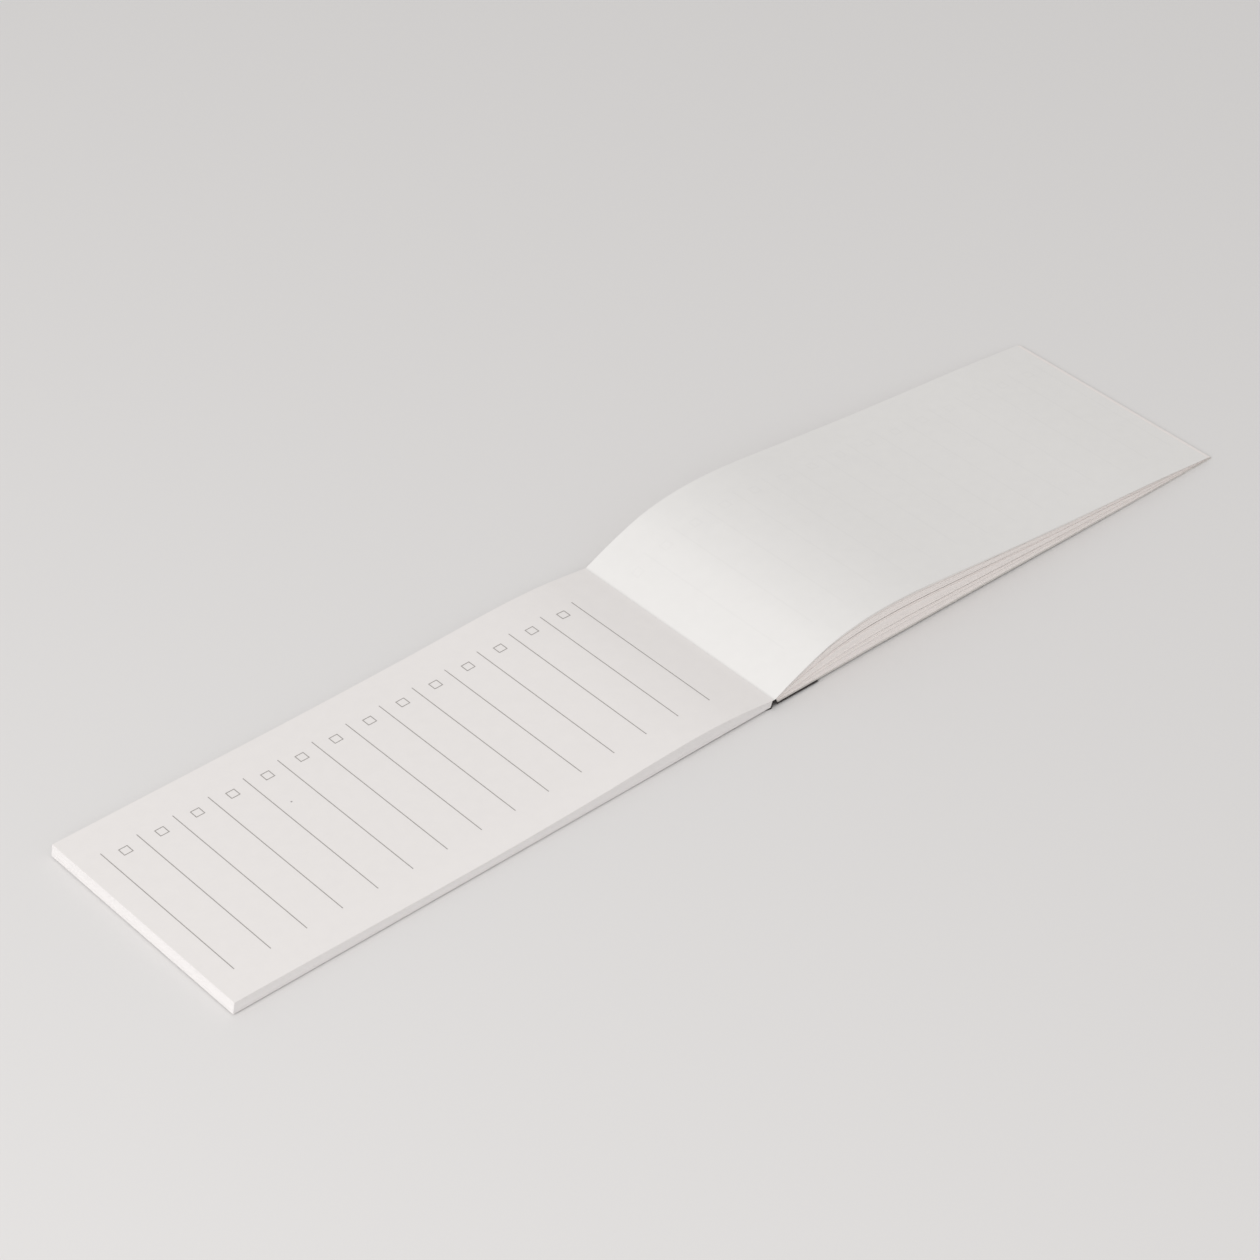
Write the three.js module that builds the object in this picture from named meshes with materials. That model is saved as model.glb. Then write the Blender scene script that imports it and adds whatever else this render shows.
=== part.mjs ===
import * as THREE from 'three';

// A checklist notepad lying open on a table, taped across its top edge.
// The pad lies toward -X, with its printed sheet up. The front cover and the
// sheets already used are turned over toward +X, where they arch off the spine
// and come down again at their far end. X runs along the pad, Y across it and
// Z up, in millimetres, and the pad rests on Z = 0.

const PAD_WIDTH = 82;
const SHEET_LENGTH = 190;
const PAD_HEIGHT = 4.15;
const FRONT_SHEAR = 0.7;
const TURNED_REACH = 187;
const ARCH_HEIGHT = 14.3;
const COVER_BOW = 1.6;
const BACK_BOARD = 0.5;
const FRONT_COVER = 0.4;
const TAPE = 0.25;
const TAPE_LAP = 17.5;
const TAPE_CREST = 2.75;
const AIR = 0.05;
const SPINE_X = (SHEET_LENGTH + FRONT_SHEAR - TURNED_REACH) / 2;

const RULE_COUNT = 15;
const RULE_LENGTH = 60;
const RULE_WIDTH = 0.25;
const RULE_OFFSET = 0.66;
const FRONT_MARGIN = 7.6;
const SPINE_MARGIN = 14.4;
const BOX_SIZE = 3.06;
const BOX_INSET = 3.36;
const INK = 0.03;
const INK_LIFT = 0.03;

const paper = new THREE.MeshStandardMaterial({ color: 0xe6e4e2, roughness: 0.85, metalness: 0 });
const board = new THREE.MeshStandardMaterial({ color: 0x9b9792, roughness: 0.9, metalness: 0 });
const card = new THREE.MeshStandardMaterial({ color: 0xcbc7c2, roughness: 0.9, metalness: 0 });
const cloth = new THREE.MeshStandardMaterial({ color: 0x454040, roughness: 0.9, metalness: 0 });
const ink = new THREE.MeshStandardMaterial({ color: 0x9a9a9c, roughness: 0.8, metalness: 0 });

const vectors = (pairs) => pairs.map(([x, z]) => new THREE.Vector2(x, z));

// A smooth side line through a few measured heights, kept off the table.
function sideLine(pairs, steps) {
  const line = new THREE.SplineCurve(vectors(pairs)).getPoints(steps);
  line.forEach((point) => {
    point.y = Math.max(point.y, 0);
  });
  return line;
}

function raised(line, height) {
  return line.map((point) => new THREE.Vector2(point.x, point.y + height));
}

function heightAt(line, x) {
  const last = line.length - 1;
  let i = 0;
  while (i < last - 1 && line[i + 1].x < x) {
    i += 1;
  }
  const share = (x - line[i].x) / (line[i + 1].x - line[i].x);
  return THREE.MathUtils.lerp(line[i].y, line[i + 1].y, share);
}

// A strip of even thickness along a side line, mitred at its corners.
function stripOutline(path, thickness) {
  const upper = [];
  const lower = [];
  path.forEach((point, i) => {
    const before = path[Math.max(i - 1, 0)];
    const after = path[Math.min(i + 1, path.length - 1)];
    const into = point.clone().sub(before).normalize();
    const away = after.clone().sub(point).normalize();
    const along = into.clone().add(away).normalize();
    const normal = new THREE.Vector2(-along.y, along.x);
    const edge = i === 0 ? away : into;
    const mitre = thickness / 2 / Math.max(Math.abs(along.dot(edge)), 0.5);
    upper.push(point.clone().addScaledVector(normal, mitre));
    lower.push(point.clone().addScaledVector(normal, -mitre));
  });
  return [...lower, ...upper.reverse()];
}

// A side view drawn in X and Z, carried across the pad's width.
function acrossPad(shape, width = PAD_WIDTH) {
  const solid = new THREE.ExtrudeGeometry(shape, { depth: width, bevelEnabled: false, steps: 1 });
  solid.rotateX(Math.PI / 2);
  solid.translate(SPINE_X, width / 2, 0);
  return solid;
}

function named(name, geometry, material) {
  const mesh = new THREE.Mesh(geometry, material);
  mesh.name = name;
  return mesh;
}

const notepad = new THREE.Group();

// Back board: stiff grey card under the pad, raised where the tape laps it.
const boardUnder = vectors([
  [-SHEET_LENGTH - FRONT_SHEAR, 0],
  [-2.8 * TAPE_LAP, 0],
  [-1.1 * TAPE_LAP, TAPE + AIR],
  [-0.6 * TAPE, TAPE + AIR],
]);
const boardShape = new THREE.Shape([...boardUnder, ...raised(boardUnder, BACK_BOARD).reverse()]);
notepad.add(named('back_board', acrossPad(boardShape), board));

// Unused sheets: one glued block. Its top sheet sags a little along the
// middle, swells before the spine and dips into it. Its front edge is sheared.
const sheetTop = sideLine([
  [1, 1],
  [0.79, 0.965],
  [0.62, 0.95],
  [0.484, 0.99],
  [0.347, 1.085],
  [0.232, 1.24],
  [0.158, 1.29],
  [0.09, 1.18],
  [0.032, 0.9],
].map(([along, up]) => [-along * SHEET_LENGTH, up * PAD_HEIGHT])
  .concat([[2 * TAPE, TAPE_CREST + 2 * AIR]]), 60);
const blockUnder = raised(boardUnder, BACK_BOARD + AIR);
const blockShape = new THREE.Shape([...blockUnder, ...sheetTop.slice().reverse()]);
notepad.add(named('page_block', acrossPad(blockShape), paper));

// Front cover: thin pale card folded right back, bowed a little off the table.
const coverUnder = sideLine([
  [11 * TAPE, 0.88 * COVER_BOW],
  ...[
    [0.214, 1],
    [0.51, 0.82],
    [0.8, 0.32],
    [0.952, 0.025],
    [1, 0],
  ].map(([along, up]) => [along * TURNED_REACH, up * COVER_BOW]),
], 30);
const coverShape = new THREE.Shape([...coverUnder, ...raised(coverUnder, FRONT_COVER).reverse()]);
notepad.add(named('front_cover', acrossPad(coverShape), card));

// Turned sheets: glued at the spine, fanned into an arch and let go behind it.
// The far ends step back as the sheets climb, because each is the same length.
const turnedUnder = raised(coverUnder, FRONT_COVER + AIR);
const turnedTop = sideLine([
  [6.4 * TAPE, TAPE_CREST + 3 * AIR],
  ...[
    [0.059, 0.51],
    [0.123, 0.818],
    [0.187, 0.965],
    [0.251, 1],
    [0.321, 0.951],
    [0.433, 0.79],
    [0.567, 0.601],
    [0.706, 0.434],
    [0.845, 0.28],
    [0.99, 0.077],
  ].map(([along, up]) => [along * TURNED_REACH, up * ARCH_HEIGHT]),
], 60);
const turnedShape = new THREE.Shape([...turnedUnder, ...turnedTop.slice().reverse()]);

// Air between the bundles of sheets, as a long lens right through the pad. Its
// ends are shares of the turned reach, and share is how high in the pile it is.
function airGap({ from, to, share, halfHeight, skew }) {
  const steps = 24;
  const upper = [];
  const lower = [];
  for (let i = 0; i <= steps; i += 1) {
    const u = i / steps;
    const x = THREE.MathUtils.lerp(from, to, u) * TURNED_REACH;
    const middle = THREE.MathUtils.lerp(heightAt(turnedUnder, x), heightAt(turnedTop, x), share);
    const half = halfHeight * ARCH_HEIGHT * Math.sin(Math.PI * u ** skew);
    upper.push(new THREE.Vector2(x, middle + half));
    if (i > 0 && i < steps) {
      lower.push(new THREE.Vector2(x, middle - half));
    }
  }
  return new THREE.Path([...upper, ...lower.reverse()]);
}
turnedShape.holes.push(
  airGap({ from: 0.08, to: 0.8, share: 0.92, halfHeight: 0.027, skew: 0.6 }),
  airGap({ from: 0.05, to: 0.88, share: 0.64, halfHeight: 0.073, skew: 0.5 }),
  airGap({ from: 0.16, to: 0.86, share: 0.3, halfHeight: 0.035, skew: 1 }),
);
notepad.add(named('turned_pages', acrossPad(turnedShape), paper));

// Binding tape: one strip of cloth lapped under both halves and folded up into
// a crest between them. It is cut along the crest, where the pad opens, and the
// fold is laid out in thicknesses of the tape.
const lapEnd = TAPE_LAP + 4 * TAPE;
const tapeBack = vectors([
  [-TAPE_LAP, TAPE / 2],
  [0.08 * TAPE, TAPE / 2],
  [1.12 * TAPE, BACK_BOARD + TAPE + 2 * AIR],
  [3.04 * TAPE, TAPE_CREST],
]);
const tapeFront = vectors([
  [5.2 * TAPE, TAPE_CREST],
  [7.4 * TAPE, COVER_BOW],
  [10 * TAPE, 0.88 * COVER_BOW - TAPE / 2 - AIR],
  [lapEnd, heightAt(coverUnder, lapEnd) - TAPE / 2 - AIR],
]);
notepad.add(named('tape_back', acrossPad(new THREE.Shape(stripOutline(tapeBack, TAPE))), cloth));
notepad.add(named('tape_front', acrossPad(new THREE.Shape(stripOutline(tapeFront, TAPE))), cloth));

// Print: ruled lines across the top sheet, with a tick box in each space.
function onTopSheet(name, geometry, x, y) {
  const half = BOX_SIZE / 2;
  const rise = heightAt(sheetTop, x + half) - heightAt(sheetTop, x - half);
  const mesh = named(name, geometry, ink);
  mesh.rotation.y = -Math.atan2(rise, 2 * half);
  mesh.position.set(SPINE_X + x, y, heightAt(sheetTop, x) + INK_LIFT + INK / 2);
  notepad.add(mesh);
}

const boxRing = new THREE.Shape(vectors([
  [-BOX_SIZE / 2, -BOX_SIZE / 2],
  [BOX_SIZE / 2, -BOX_SIZE / 2],
  [BOX_SIZE / 2, BOX_SIZE / 2],
  [-BOX_SIZE / 2, BOX_SIZE / 2],
]));
const inner = BOX_SIZE / 2 - RULE_WIDTH;
boxRing.holes.push(new THREE.Path(vectors([
  [-inner, -inner],
  [-inner, inner],
  [inner, inner],
  [inner, -inner],
])));

const pitch = (SHEET_LENGTH - FRONT_MARGIN - SPINE_MARGIN) / (RULE_COUNT - 1);
for (let i = 0; i < RULE_COUNT; i += 1) {
  const number = String(i + 1).padStart(2, '0');
  const x = -SHEET_LENGTH + FRONT_MARGIN + i * pitch;
  const rule = new THREE.BoxGeometry(RULE_WIDTH, RULE_LENGTH, INK);
  onTopSheet(`rule_${number}`, rule, x, -RULE_OFFSET);
  if (i < RULE_COUNT - 1) {
    const ring = new THREE.ExtrudeGeometry(boxRing, { depth: INK, bevelEnabled: false });
    ring.translate(0, 0, -INK / 2);
    onTopSheet(`tick_box_${number}`, ring, x + pitch / 2, RULE_LENGTH / 2 - RULE_OFFSET - BOX_INSET);
  }
}

export default notepad;
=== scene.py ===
import math

import bpy
import numpy as np
from mathutils import Matrix, Vector


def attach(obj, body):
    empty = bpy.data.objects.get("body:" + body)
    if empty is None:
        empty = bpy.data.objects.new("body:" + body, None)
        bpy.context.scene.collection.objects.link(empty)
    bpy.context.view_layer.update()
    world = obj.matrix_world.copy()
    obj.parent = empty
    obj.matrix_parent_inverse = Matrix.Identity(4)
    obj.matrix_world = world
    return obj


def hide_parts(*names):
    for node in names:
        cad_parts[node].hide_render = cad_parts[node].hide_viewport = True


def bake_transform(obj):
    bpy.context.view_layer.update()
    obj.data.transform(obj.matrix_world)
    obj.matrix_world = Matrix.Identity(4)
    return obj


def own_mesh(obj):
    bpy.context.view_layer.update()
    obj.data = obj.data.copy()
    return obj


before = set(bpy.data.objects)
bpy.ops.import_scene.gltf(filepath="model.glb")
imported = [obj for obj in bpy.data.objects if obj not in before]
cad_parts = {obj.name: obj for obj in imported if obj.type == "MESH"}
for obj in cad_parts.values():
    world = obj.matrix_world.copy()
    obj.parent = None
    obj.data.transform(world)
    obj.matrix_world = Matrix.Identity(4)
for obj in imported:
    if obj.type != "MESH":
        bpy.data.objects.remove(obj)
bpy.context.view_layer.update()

# View: a long lens looks down over the near front corner of the open pad.
# Its place was worked out from the pad's corners and the printed lines.
MM = 0.001
eye = np.array([-592.739, -646.321, 695.101]) * MM
right = (0.749393, -0.662092, 0.006668)
up = (0.405481, 0.466862, 0.785891)
back = (-0.523445, -0.586238, 0.618329)
lens = bpy.data.cameras.new("view")
lens.lens = 109.911
lens.sensor_width = 36.0
lens.clip_start = 0.05
camera = bpy.data.objects.new("view", lens)
bpy.context.collection.objects.link(camera)
camera.matrix_world = Matrix([
    (right[0], up[0], back[0], eye[0]),
    (right[1], up[1], back[1], eye[1]),
    (right[2], up[2], back[2], eye[2]),
    (0.0, 0.0, 0.0, 1.0),
])
bpy.context.scene.camera = camera

# Table: a matt pale top, lit by one broad soft light from the pad's front end.
# A pale room fills the shadows.


def linear(hex_colour):
    """Screen colour to light: each channel less 0.055 over 1.055, to the power 2.4."""
    channels = [int(hex_colour[i:i + 2], 16) / 255 for i in (0, 2, 4)]
    light = [c / 12.92 if c < 0.04045 else ((c + 0.055) / 1.055) ** 2.4 for c in channels]
    return (*light, 1.0)


def new_material(name, colour, roughness):
    """A plain surface to build on: returns the material, its nodes, a link call and its shader."""
    material = bpy.data.materials.new(name)
    material.use_nodes = True
    nodes = material.node_tree.nodes
    shader = nodes["Principled BSDF"]
    shader.inputs["Base Color"].default_value = colour
    shader.inputs["Roughness"].default_value = roughness
    shader.inputs["Specular IOR Level"].default_value = 0.3
    return material, nodes, material.node_tree.links.new, shader


table_paint = new_material("table_paint", linear("dfdddc"), 0.75)[0]
REACH_OF_TABLE = 4.0
corners = [(-1, -1), (1, -1), (1, 1), (-1, 1)]
table_mesh = bpy.data.meshes.new("table")
table_mesh.from_pydata(
    [(x * REACH_OF_TABLE, y * REACH_OF_TABLE, 0) for x, y in corners], [], [(0, 1, 2, 3)])
table = bpy.data.objects.new("table", table_mesh)
table_mesh.materials.append(table_paint)
bpy.context.collection.objects.link(table)

key = bpy.data.lights.new("window", "AREA")
key.shape = "RECTANGLE"
key.size = 1.2
key.size_y = 0.95
key.energy = 16.2
key_lamp = bpy.data.objects.new("window", key)
bpy.context.collection.objects.link(key_lamp)
key_lamp.location = (-1.42, -0.40, 0.90)
key_lamp.rotation_euler = (-Vector(key_lamp.location)).to_track_quat("-Z", "Y").to_euler()

room = bpy.data.worlds.new("room")
room.use_nodes = True
sky = room.node_tree.nodes["Background"]
sky.inputs["Color"].default_value = (1.0, 0.995, 0.99, 1.0)
sky.inputs["Strength"].default_value = 0.68
bpy.context.scene.world = room
bpy.context.scene.view_settings.view_transform = "Standard"

# Back card: thin grey pulp card, cut a little short so that it lies in the
# sheets' shadow. Its grey is partly the card's own colour and partly painted shade,
# darkened to stand in for the contact shadow line under the block.
# It steps up near the spine, where the tape runs under it.
SPINE = 1.85
HALF_WIDTH = 41.0
SHEET = 190.0
SHEAR = 0.7
BACK_CARD = 0.36
CARD_INSET = 0.9
TAPE_ROOM = 0.3
STEP_START = -49.0
STEP_END = -19.25
SPINE_FACE = -0.15
PASTE = 0.05


def pulp_card(name, dark, light):
    """Pressed pulp: flecks between two tones, with a faint roughness to the surface."""
    material, nodes, link, shader = new_material(name, linear(dark), 0.9)
    place = nodes.new("ShaderNodeTexCoord")
    pulp = nodes.new("ShaderNodeTexNoise")
    pulp.inputs["Scale"].default_value = 900.0
    pulp.inputs["Detail"].default_value = 6.0
    flecks = nodes.new("ShaderNodeValToRGB")
    flecks.color_ramp.elements[0].color = linear(dark)
    flecks.color_ramp.elements[0].position = 0.3
    flecks.color_ramp.elements[1].color = linear(light)
    flecks.color_ramp.elements[1].position = 0.7
    relief = nodes.new("ShaderNodeBump")
    relief.inputs["Strength"].default_value = 0.25
    relief.inputs["Distance"].default_value = 0.00005
    link(place.outputs["Object"], pulp.inputs["Vector"])
    link(pulp.outputs["Fac"], flecks.inputs["Fac"])
    link(flecks.outputs["Color"], shader.inputs["Base Color"])
    link(pulp.outputs["Fac"], relief.inputs["Height"])
    link(relief.outputs["Normal"], shader.inputs["Normal"])
    return material


def slab(x, y, under, over):
    """One sheet as a closed slab: a grid at height over, one at under, and a wall round.

    Every input is stations along the pad by rows across it, in millimetres.
    Returns the points and the four-sided faces, turned outwards.
    """
    stations, rows = x.shape
    drop = stations * rows
    lower = np.stack([x, y, under], -1).reshape(-1, 3)
    upper = np.stack([x, y, over], -1).reshape(-1, 3)
    points = np.concatenate([upper, lower])
    grid = np.arange(drop).reshape(stations, rows)
    a, b, c, d = grid[:-1, :-1], grid[1:, :-1], grid[1:, 1:], grid[:-1, 1:]
    top = np.stack([a, b, c, d], -1).reshape(-1, 4)
    bottom = top[:, ::-1] + drop
    ring = np.concatenate([grid[:-1, 0], grid[-1, :-1], grid[:0:-1, -1], grid[0, :0:-1]])
    after = np.roll(ring, -1)
    wall = np.stack([ring, ring + drop, after + drop, after], -1)
    return points, np.concatenate([top, bottom, wall])


def add_mesh(name, parts, material, spread=None):
    """Joins slabs into one mesh in metres, shaded smooth but crisp at its edges."""
    start = 0
    points, faces = [], []
    for part_points, part_faces in parts:
        points.append(part_points)
        faces.append(part_faces + start)
        start += len(part_points)
    points = np.concatenate(points) * MM
    faces = np.concatenate(faces)
    mesh = bpy.data.meshes.new(name)
    mesh.vertices.add(len(points))
    mesh.vertices.foreach_set("co", points.astype(np.float32).ravel())
    mesh.loops.add(faces.size)
    mesh.loops.foreach_set("vertex_index", faces.astype(np.int32).ravel())
    mesh.polygons.add(len(faces))
    mesh.polygons.foreach_set("loop_start", np.arange(0, faces.size, 4, dtype=np.int32))
    mesh.polygons.foreach_set("loop_total", np.full(len(faces), 4, dtype=np.int32))
    if spread is not None:
        layer = mesh.uv_layers.new(name="UVMap")
        layer.data.foreach_set("uv", spread[faces.ravel()].astype(np.float32).ravel())
    mesh.update(calc_edges=True)
    mesh.validate()
    mesh.shade_smooth()
    mesh.set_sharp_from_angle(angle=math.radians(35))
    mesh.materials.append(material)
    piece = bpy.data.objects.new(name, mesh)
    bpy.context.collection.objects.link(piece)
    return piece


board_foot = np.array([
    (-SHEET - SHEAR, 0.0), (STEP_START, 0.0), (STEP_END, TAPE_ROOM), (SPINE_FACE, TAPE_ROOM)])
x = board_foot[:, 0].copy()
x[0] += CARD_INSET
card_rows = np.linspace(-1, 1, 3) * (HALF_WIDTH - CARD_INSET)
grid_x, grid_y = np.meshgrid(x, card_rows, indexing="ij")
foot = np.repeat(board_foot[:, 1:], 3, 1)
# The card's two greys are partly its own colour and partly painted shade for the dark line under
# the block.
back_card = add_mesh(
    "back_card", [slab(grid_x + SPINE, grid_y, foot, foot + BACK_CARD)],
    pulp_card("grey_board_painted_shade", "6f6b67", "8f8b86"))
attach(back_card, "pad")
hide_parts("back_board")

# Unused sheets: thin uncoated paper, cut in one stack and glued along the
# spine. The stack sags along its middle, swells before the spine and dips in.
PAD_HEIGHT = 4.15
BLOCK_SHEETS = 27
PAPER_SHARE = 0.93
BLOCK_SLIP = 0.045
SPINE_LEAN = 0.75
CREST_EDGE = 0.97
DROOP = 0.75
DROOP_START = -30.9
DROOP_WIDTH = 10.1


def smooth_line(pairs, steps):
    """A curve through the pairs: (2a-2b+m+n)w^3 + (3b-3a-2m-n)w^2 + mw + a on each span.

    a and b are the span's ends, w runs from 0 to 1 along it, and m and n are the
    slopes at a and b, each half the step between the neighbours on either side.
    """
    p = np.asarray(pairs, float)
    last = len(p) - 1
    t = np.linspace(0, last, steps + 1)
    i = np.minimum(t.astype(int), last - 1)
    w = (t - i)[:, None]
    a, b = p[i], p[i + 1]
    m = (b - p[np.maximum(i - 1, 0)]) / 2
    n = (p[np.minimum(i + 2, last)] - a) / 2
    cubic = (2 * a - 2 * b + m + n) * w**3
    square = (3 * b - 3 * a - 2 * m - n) * w**2
    return cubic + square + m * w + a


sheet_top = smooth_line(
    [(-along * SHEET, high * PAD_HEIGHT) for along, high in (
        (1, 1), (0.79, 0.965), (0.62, 0.95), (0.484, 0.99), (0.347, 1.085),
        (0.232, 1.24), (0.158, 1.29), (0.09, 1.18), (0.032, 0.9),
    )] + [(0.5, 2.85)], 60)
sheet_top = np.concatenate([sheet_top, [(CREST_EDGE, 2.84)]])
board_line = board_foot + (0, BACK_CARD + PASTE)


def edge_droop(x, y):
    """How far the near edge hangs: DROOP sin(pi u)^2 v^1.6, u along the pad, v to the edge."""
    u = np.clip(-x / SHEET, 0, 1)
    v = np.clip((DROOP_START - y) / DROOP_WIDTH, 0, 1)
    return DROOP * np.sin(math.pi * u) ** 2 * v**1.6


def block_sheet(order, x_front, x_spine, near, far, stations, rows):
    """A sheet between two shares of the block's height, shaped like the top line above it."""
    low, high = order
    along = np.linspace(0, 1, stations)[:, None]
    x = x_front + (x_spine - x_front) * along + 0 * rows[None, :]
    y = near + (far - near) * rows[None, :] + 0 * along
    floor = np.interp(x, board_line[:, 0], board_line[:, 1])
    roof = np.interp(x, sheet_top[:, 0], sheet_top[:, 1]) - edge_droop(x, y)
    return slab(x + SPINE, y, floor + (roof - floor) * low, floor + (roof - floor) * high)


def paper_material(name, colour):
    """Uncoated paper: a soft fibre cloud in the colour and a very fine tooth in the bump."""
    material, nodes, link, shader = new_material(name, linear(colour), 0.85)
    place = nodes.new("ShaderNodeTexCoord")
    cloud = nodes.new("ShaderNodeTexNoise")
    cloud.inputs["Scale"].default_value = 260.0
    cloud.inputs["Detail"].default_value = 5.0
    tone = nodes.new("ShaderNodeMapRange")
    tone.inputs["To Min"].default_value = 0.975
    tone.inputs["To Max"].default_value = 1.015
    tint = nodes.new("ShaderNodeVectorMath")
    tint.operation = "SCALE"
    tint.inputs[0].default_value = linear(colour)[:3]
    tooth = nodes.new("ShaderNodeTexNoise")
    tooth.inputs["Scale"].default_value = 2600.0
    tooth.inputs["Detail"].default_value = 4.0
    grain = nodes.new("ShaderNodeBump")
    grain.inputs["Strength"].default_value = 0.12
    grain.inputs["Distance"].default_value = 0.00003
    link(place.outputs["Object"], cloud.inputs["Vector"])
    link(place.outputs["Object"], tooth.inputs["Vector"])
    link(cloud.outputs["Fac"], tone.inputs["Value"])
    link(tone.outputs["Result"], tint.inputs["Scale"])
    link(tint.outputs["Vector"], shader.inputs["Base Color"])
    link(tooth.outputs["Fac"], grain.inputs["Height"])
    link(grain.outputs["Normal"], shader.inputs["Normal"])
    return material, nodes, link, shader, tint


def worked_out(nodes, link, operation, *terms):
    """One arithmetic node: a number is set on its socket and an output is linked to it."""
    step = nodes.new("ShaderNodeMath")
    step.operation = operation
    for socket, term in zip(step.inputs, terms):
        if isinstance(term, float):
            socket.default_value = term
        else:
            link(term, socket)
    return step.outputs["Value"]


def darken(nodes, link, tint, distance, inner, outer, amount):
    """Takes amount off the paper's tone within inner of a mark, fading to none at outer."""
    mark = nodes.new("ShaderNodeMapRange")
    mark.interpolation_type = "SMOOTHSTEP"
    mark.inputs["From Min"].default_value = inner
    mark.inputs["From Max"].default_value = outer
    mark.inputs["To Min"].default_value = 1.0 - amount
    mark.inputs["To Max"].default_value = 1.0
    link(distance, mark.inputs["Value"])
    tone = tint.inputs["Scale"].links[0].from_socket
    link(worked_out(nodes, link, "MULTIPLY", tone, mark.outputs["Result"]), tint.inputs["Scale"])


INK_SPECK = (-0.12835, 0.01279, 0.00396)
page_paper, nodes, link, shader, tint = paper_material("page_paper", "e9e5e3")
place = nodes.new("ShaderNodeTexCoord")
to_speck = nodes.new("ShaderNodeVectorMath")
to_speck.operation = "DISTANCE"
to_speck.inputs[1].default_value = INK_SPECK
link(place.outputs["Object"], to_speck.inputs[0])
darken(nodes, link, tint, to_speck.outputs["Value"], 0.15 * MM, 0.4 * MM, 0.6)
edge_paper = paper_material("cut_edge_paper", "eae7e6")[0]

rng = np.random.default_rng(14)
rows = np.array([0, 0.03, 0.065, 0.12, 0.88, 1.0])
stack = []
for k in range(BLOCK_SHEETS - 1):
    low = k / BLOCK_SHEETS
    slip = rng.normal(0, BLOCK_SLIP, 3)
    front = -SHEET - SHEAR * (1 - low) + abs(slip[0])
    spine_end = SPINE_FACE + SPINE_LEAN * low
    stack.append(block_sheet(
        (low, low + PAPER_SHARE / BLOCK_SHEETS), front, spine_end,
        -HALF_WIDTH + abs(slip[1]), HALF_WIDTH - abs(slip[2]), 70, rows))
sheet_block = add_mesh("sheet_block", stack, edge_paper)
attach(sheet_block, "pad")

fine_rows = np.linspace(0, 1, 33)
top_share = (1 - 1 / BLOCK_SHEETS, 1.0)
top_sheet = add_mesh("top_sheet", [block_sheet(
    top_share, -SHEET, CREST_EDGE, -HALF_WIDTH, HALF_WIDTH, 190, fine_rows)], page_paper)
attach(top_sheet, "pad")
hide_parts("page_block")

# Print: fifteen ruled lines and fourteen tick boxes in one thin pale grey ink,
# which breaks up a little on the paper's tooth.


def dress(name, material):
    """Puts one material in every slot of a CAD node."""
    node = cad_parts[name]
    if not node.material_slots:
        node.data.materials.append(material)
    for held in node.material_slots:
        held.material = material


ink, nodes, link, shader = new_material("pale_ink", linear("a5a29f"), 0.8)
place = nodes.new("ShaderNodeTexCoord")
speckle = nodes.new("ShaderNodeTexNoise")
speckle.inputs["Scale"].default_value = 3000.0
shade = nodes.new("ShaderNodeValToRGB")
shade.color_ramp.elements[0].color = linear("9a9693")
shade.color_ramp.elements[1].color = linear("b2aeab")
link(place.outputs["Object"], speckle.inputs["Vector"])
link(speckle.outputs["Fac"], shade.inputs["Fac"])
link(shade.outputs["Color"], shader.inputs["Base Color"])
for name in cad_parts:
    if name.startswith(("rule_", "tick_box_")):
        dress(name, ink)

# Turned sheets: the front cover and the used sheets, folded right over the
# spine. The sheets cling in bundles with a shallow groove between, arch up and
# come down at their far end. Print shows through the top one very faintly.
REACH = 187.0
UV_SPAN = 100.0
FIRST_RULE = 14.4
RULE_PITCH = 12.0
RULE_LENGTH = 60.0
RULE_OFFSET = 0.66
BOX_MIDDLE = 25.98
BOX_HALF = 1.4
ARCH = 14.3
COVER_START = 2.75
COVER_THICKNESS = 0.4
GROOVE = 0.32
LOOSE_SHARE = 0.94
LOOSE_SLIP = 0.16
END_SLIP = 0.12
END_STAGGER = 1.8
START_STAGGER = 1.1
CROWD = 1.25
ARCH_START = 1.6
cover_foot = smooth_line(
    [(COVER_START, 0.95)] + [(along * REACH, high) for along, high in (
        (0.1, 0.75), (0.214, 0.7), (0.51, 0.66), (0.8, 0.25), (0.952, 0.02), (1, 0))], 40)
cover_foot[:, 1] = np.maximum(cover_foot[:, 1], 0)
under_line = cover_foot + (0, COVER_THICKNESS + PASTE)
set_back = np.array([
    (0, 0.25), (0.1, 0.45), (0.214, 0.57), (0.51, 0.28), (0.8, 0), (1, 0)]) * (REACH, 1)
arch_line = smooth_line(
    [(ARCH_START, 2.9)] + [(along * REACH, high * ARCH) for along, high in (
        (0.059, 0.51), (0.123, 0.818), (0.187, 0.965), (0.251, 1), (0.321, 0.951),
        (0.433, 0.79), (0.567, 0.601), (0.706, 0.434), (0.845, 0.28), (0.99, 0.077))], 60)
# Each gap: its share of the pile's height, half its own height as a share of
# the arch, where it starts and ends as shares of the reach, and its lean.
GAPS = (
    (0.3, 0.006, 0.16, 0.86, 1.0),
    (0.64, 0.011, 0.05, 0.88, 0.5),
    (0.92, 0.003, 0.08, 0.8, 0.6),
)


def gap_half(x, half, start, end, skew):
    """Half the height of an air gap: half ARCH sin(pi u^skew), u along the gap."""
    u = np.clip((x / REACH - start) / (end - start), 0, 1)
    return half * ARCH * np.sin(math.pi * u**skew)


def arch_height(x, share):
    """Height of the pile at a share of the way from the cover up to the top sheet."""
    floor = np.interp(x, under_line[:, 0], under_line[:, 1])
    roof = np.interp(x, arch_line[:, 0], arch_line[:, 1])
    return floor + (roof - floor) * share


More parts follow.
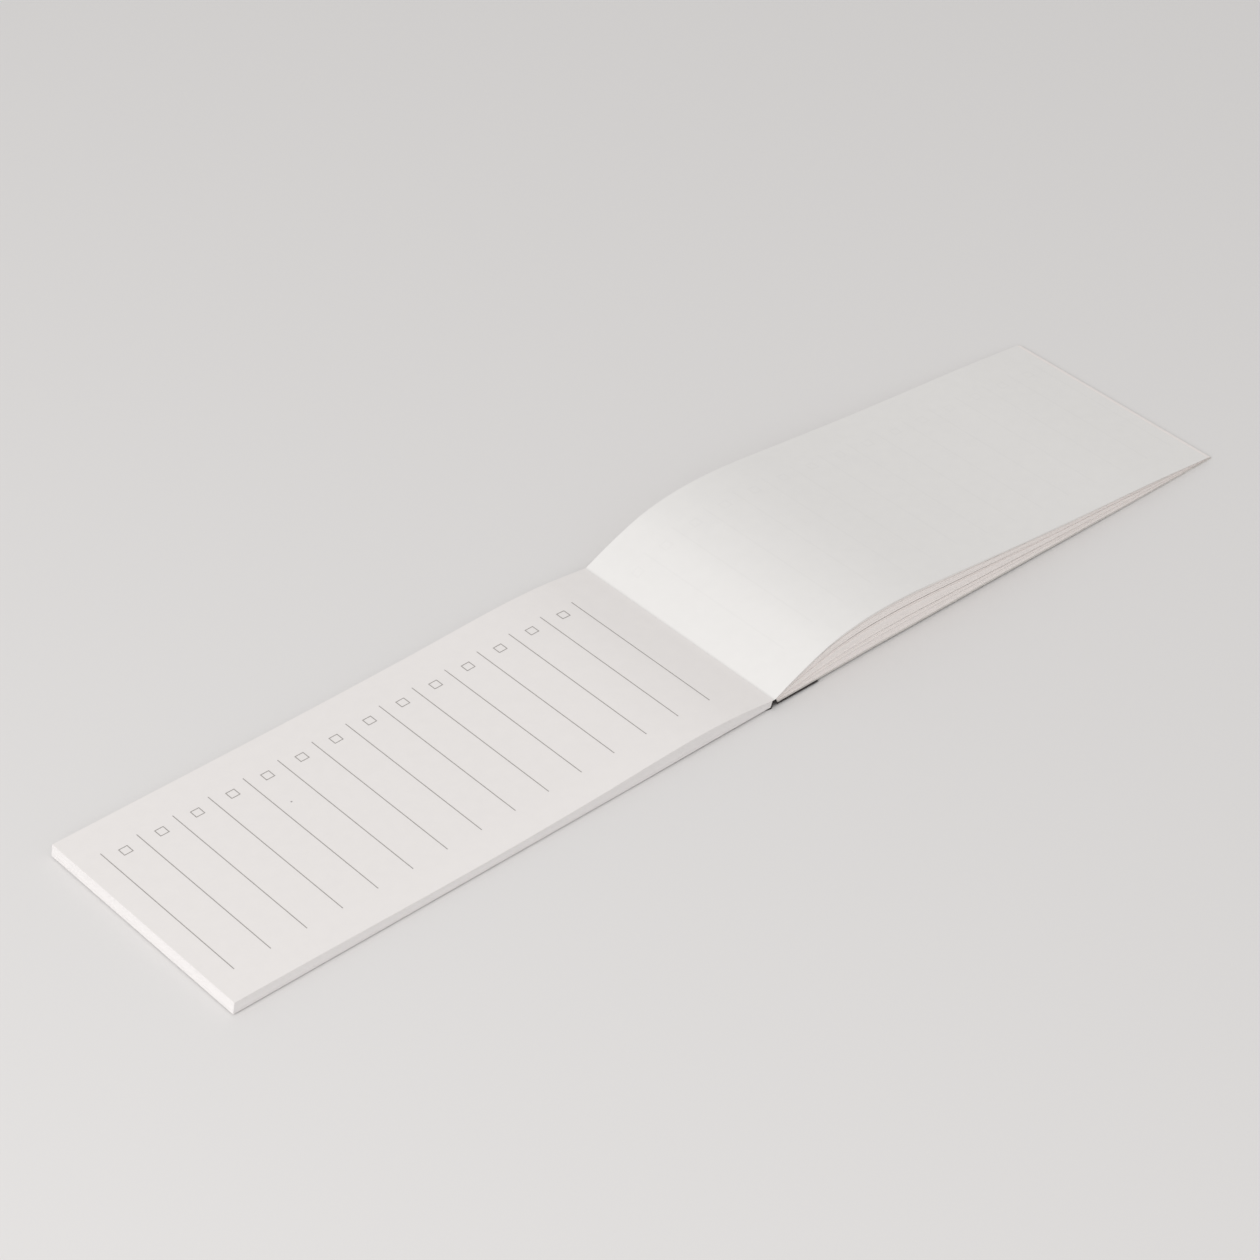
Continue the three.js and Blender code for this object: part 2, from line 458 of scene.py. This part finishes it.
def bundle(lower_gap, upper_gap, count, stations=130):
    """Sheets shared out evenly between two air gaps, each a slab that thins toward its far end."""
    parts = []
    for k in range(count):
        slip = rng.normal(0, 1, 3)
        share = (lower_gap[0] if lower_gap else 0) * (1 - k / count)
        share += (upper_gap[0] if upper_gap else 1) * k / count
        start = COVER_START - START_STAGGER * share
        end = REACH - END_STAGGER * share - abs(slip[0]) * END_SLIP
        line = start + (end - start) * np.linspace(0, 1, stations) ** CROWD
        x = line[:, None] + np.zeros((1, 3))
        floor = arch_height(x, lower_gap[0] if lower_gap else 0)
        roof = arch_height(x, upper_gap[0] if upper_gap else 1)
        if lower_gap:
            floor = floor + gap_half(x, *lower_gap[1:])
        if upper_gap:
            roof = roof - gap_half(x, *upper_gap[1:])
        pitch = (roof - floor) / count
        under = floor + pitch * k
        over = under + pitch * LOOSE_SHARE
        beside_gap = (lower_gap and k == 0) or (upper_gap and k == count - 1)
        groove = GROOVE if beside_gap else 0.0
        near = -HALF_WIDTH + PASTE + abs(slip[1]) * LOOSE_SLIP + groove
        far = HALF_WIDTH - PASTE - abs(slip[2]) * LOOSE_SLIP - groove
        back_off = np.interp(x[:, 0], set_back[:, 0], set_back[:, 1]) * (1 - share)
        y = np.stack([near + back_off, 0 * back_off, far + 0 * back_off], 1)
        parts.append(slab(x + SPINE, y, under, over))
    return parts


x = cover_foot[:, 0]
near = -HALF_WIDTH + np.interp(x, set_back[:, 0], set_back[:, 1])
grid_x = np.repeat(x[:, None], 3, 1)
grid_y = np.stack([near, 0 * x, HALF_WIDTH + 0 * x], 1)
foot = np.repeat(cover_foot[:, 1:], 3, 1)
cover_card = add_mesh(
    "cover_card", [slab(grid_x + SPINE, grid_y, foot, foot + COVER_THICKNESS)],
    pulp_card("pale_card", "c9c5c0", "dad6d2"))
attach(cover_card, "cover")
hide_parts("front_cover")

low_gap, mid_gap, top_gap = GAPS
BUNDLES = (
    ("turned_lower_sheets", None, low_gap, 7),
    ("turned_middle_sheets", low_gap, mid_gap, 7),
    ("turned_upper_sheets", mid_gap, top_gap, 6),
)


def lies_with_cover(piece):
    """Rides on the cover, with a mesh of its own."""
    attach(piece, "cover")
    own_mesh(piece)


# The turned sheets' sides are the same paper as the block's cut edges, painted lighter: painted
# light on the turned stack's side.
loose_edge_painted_light = paper_material("loose_edge_painted_light", "f1ebe8")[0]
for name, lower_gap, upper_gap, count in BUNDLES:
    lies_with_cover(add_mesh(name, bundle(lower_gap, upper_gap, count), loose_edge_painted_light))

run_out = REACH - END_STAGGER - ARCH_START
x = np.concatenate([[1.0, 1.2], ARCH_START + run_out * np.linspace(0, 1, 238) ** CROWD])
roof = np.interp(x, arch_line[:, 0], arch_line[:, 1])
roof[:2] = (2.85, 2.86)
thick = (1 - top_gap[0]) * (roof - np.interp(x, under_line[:, 0], under_line[:, 1]))
thick = np.clip(thick - gap_half(x, *top_gap[1:]), 0.05, 0.5)
across = np.linspace(-HALF_WIDTH, HALF_WIDTH, 9)
run = np.concatenate([[0], np.cumsum(np.hypot(np.diff(x), np.diff(roof)))])
grid_x, grid_y = np.meshgrid(x + SPINE, across, indexing="ij")
grid_top = np.repeat(roof[:, None], len(across), 1)
grid_under = grid_top - thick[:, None]
spread = np.stack([np.repeat(run[:, None], len(across), 1), grid_y], -1)
spread = spread.reshape(-1, 2) / UV_SPAN
spread = np.concatenate([spread, spread])
# The turned top sheet is the pad's own paper, painted a little darker than the page paper as
# painted shade. The faint show-through print on it is real.
turned_paper_painted_shade, nodes, link, shader, tint = paper_material("turned_paper_painted_shade", "e6e4e2")
show = nodes.new("ShaderNodeUVMap")
show.uv_map = "UVMap"
split = nodes.new("ShaderNodeSeparateXYZ")
link(show.outputs["UV"], split.inputs["Vector"])
along_mm = worked_out(nodes, link, "MULTIPLY", split.outputs["X"], UV_SPAN)
across_mm = worked_out(nodes, link, "MULTIPLY", split.outputs["Y"], UV_SPAN)
past_first = worked_out(nodes, link, "SUBTRACT", along_mm, FIRST_RULE)
off_rule = worked_out(nodes, link, "PINGPONG", past_first, RULE_PITCH / 2)
off_middle = worked_out(nodes, link, "SUBTRACT", RULE_PITCH / 2, off_rule)
off_centre = worked_out(nodes, link, "ADD", across_mm, RULE_OFFSET)
off_centre = worked_out(nodes, link, "ABSOLUTE", off_centre)
past_end = worked_out(nodes, link, "SUBTRACT", off_centre, RULE_LENGTH / 2)
before_first = worked_out(nodes, link, "SUBTRACT", FIRST_RULE - 1.0, along_mm)
rule_distance = worked_out(nodes, link, "MAXIMUM", off_rule, past_end)
rule_distance = worked_out(nodes, link, "MAXIMUM", rule_distance, before_first)
box_side = worked_out(nodes, link, "SUBTRACT", across_mm, BOX_MIDDLE)
box_side = worked_out(nodes, link, "ABSOLUTE", box_side)
box_distance = worked_out(nodes, link, "MAXIMUM", off_middle, box_side)
box_distance = worked_out(nodes, link, "SUBTRACT", box_distance, BOX_HALF)
box_distance = worked_out(nodes, link, "ABSOLUTE", box_distance)
for printed in (rule_distance, box_distance):
    darken(nodes, link, tint, printed, 0.1, 0.5, 0.018)
top_turned = add_mesh(
    "turned_top_sheet", [slab(grid_x, grid_y, grid_under, grid_top)], turned_paper_painted_shade, spread)
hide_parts("turned_pages")
lies_with_cover(top_turned)

# Binding tape: one strip of dark woven cloth, pasted under both halves and
# folded up into a crest between them.
TAPE = 0.25
TRIM_RUN = 3
tape_path = smooth_line([
    (-17.5, 0.125), (-9, 0.125), (-2.2, 0.125), (-0.35, 0.13), (0.02, 0.2), (0.16, 0.5),
    (0.32, 1.0), (0.55, 1.8), (0.72, 2.36), (0.86, 2.55), (1.02, 2.6), (1.18, 2.55),
    (1.32, 2.36), (1.6, 1.75), (1.9, 1.2), (2.3, 0.86), (3.2, 0.78), (9, 0.7), (18.5, 0.57),
], 220)
lean = np.gradient(tape_path, axis=0)
lean /= np.linalg.norm(lean, axis=1)[:, None]
inward = np.stack([-lean[:, 1], lean[:, 0]], 1) * TAPE / 2
tape_rows = np.linspace(-HALF_WIDTH, HALF_WIDTH, 5)
pasted, outer = tape_path + inward, tape_path - inward
outer[:, 1] = np.maximum(outer[:, 1], 0)
steps = np.linalg.norm(np.diff(tape_path, axis=0), axis=1)
run = np.concatenate([[0], np.cumsum(steps)])
along, across = np.meshgrid(run, tape_rows, indexing="ij")
spread = np.stack([along, across], -1).reshape(-1, 2)
points, faces = slab(along, across, along, along)
under_pad = np.clip(-tape_path[:, 0] / TRIM_RUN, 0, 1)
narrowing = 1 - under_pad * CARD_INSET / HALF_WIDTH
points[:, 1] *= np.tile(np.repeat(narrowing, len(tape_rows)), 2)
for side, line in ((slice(0, along.size), pasted), (slice(along.size, None), outer)):
    points[side, 0] = np.repeat(line[:, 0] + SPINE, len(tape_rows))
    points[side, 2] = np.repeat(line[:, 1], len(tape_rows))

cloth, nodes, link, shader = new_material("dark_cloth", linear("3c3737"), 0.9)
threads = nodes.new("ShaderNodeUVMap")
threads.uv_map = "UVMap"
weave = []
for direction_axis in ("X", "Y"):
    band = nodes.new("ShaderNodeTexWave")
    band.bands_direction = direction_axis
    band.inputs["Scale"].default_value = 0.8
    band.inputs["Distortion"].default_value = 0.6
    link(threads.outputs["UV"], band.inputs["Vector"])
    weave.append(band)
crossing = nodes.new("ShaderNodeMath")
crossing.operation = "MAXIMUM"
link(weave[0].outputs["Fac"], crossing.inputs[0])
link(weave[1].outputs["Fac"], crossing.inputs[1])
thread_colour = nodes.new("ShaderNodeValToRGB")
thread_colour.color_ramp.elements[0].color = linear("2c2828")
thread_colour.color_ramp.elements[1].color = linear("433e3e")
thread_bump = nodes.new("ShaderNodeBump")
thread_bump.inputs["Strength"].default_value = 0.4
thread_bump.inputs["Distance"].default_value = 0.00006
link(crossing.outputs["Value"], thread_colour.inputs["Fac"])
link(thread_colour.outputs["Color"], shader.inputs["Base Color"])
link(crossing.outputs["Value"], thread_bump.inputs["Height"])
link(thread_bump.outputs["Normal"], shader.inputs["Normal"])

tape = add_mesh("binding_tape", [(points, faces)], cloth, np.concatenate([spread, spread]))
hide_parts("tape_back", "tape_front")
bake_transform(tape)
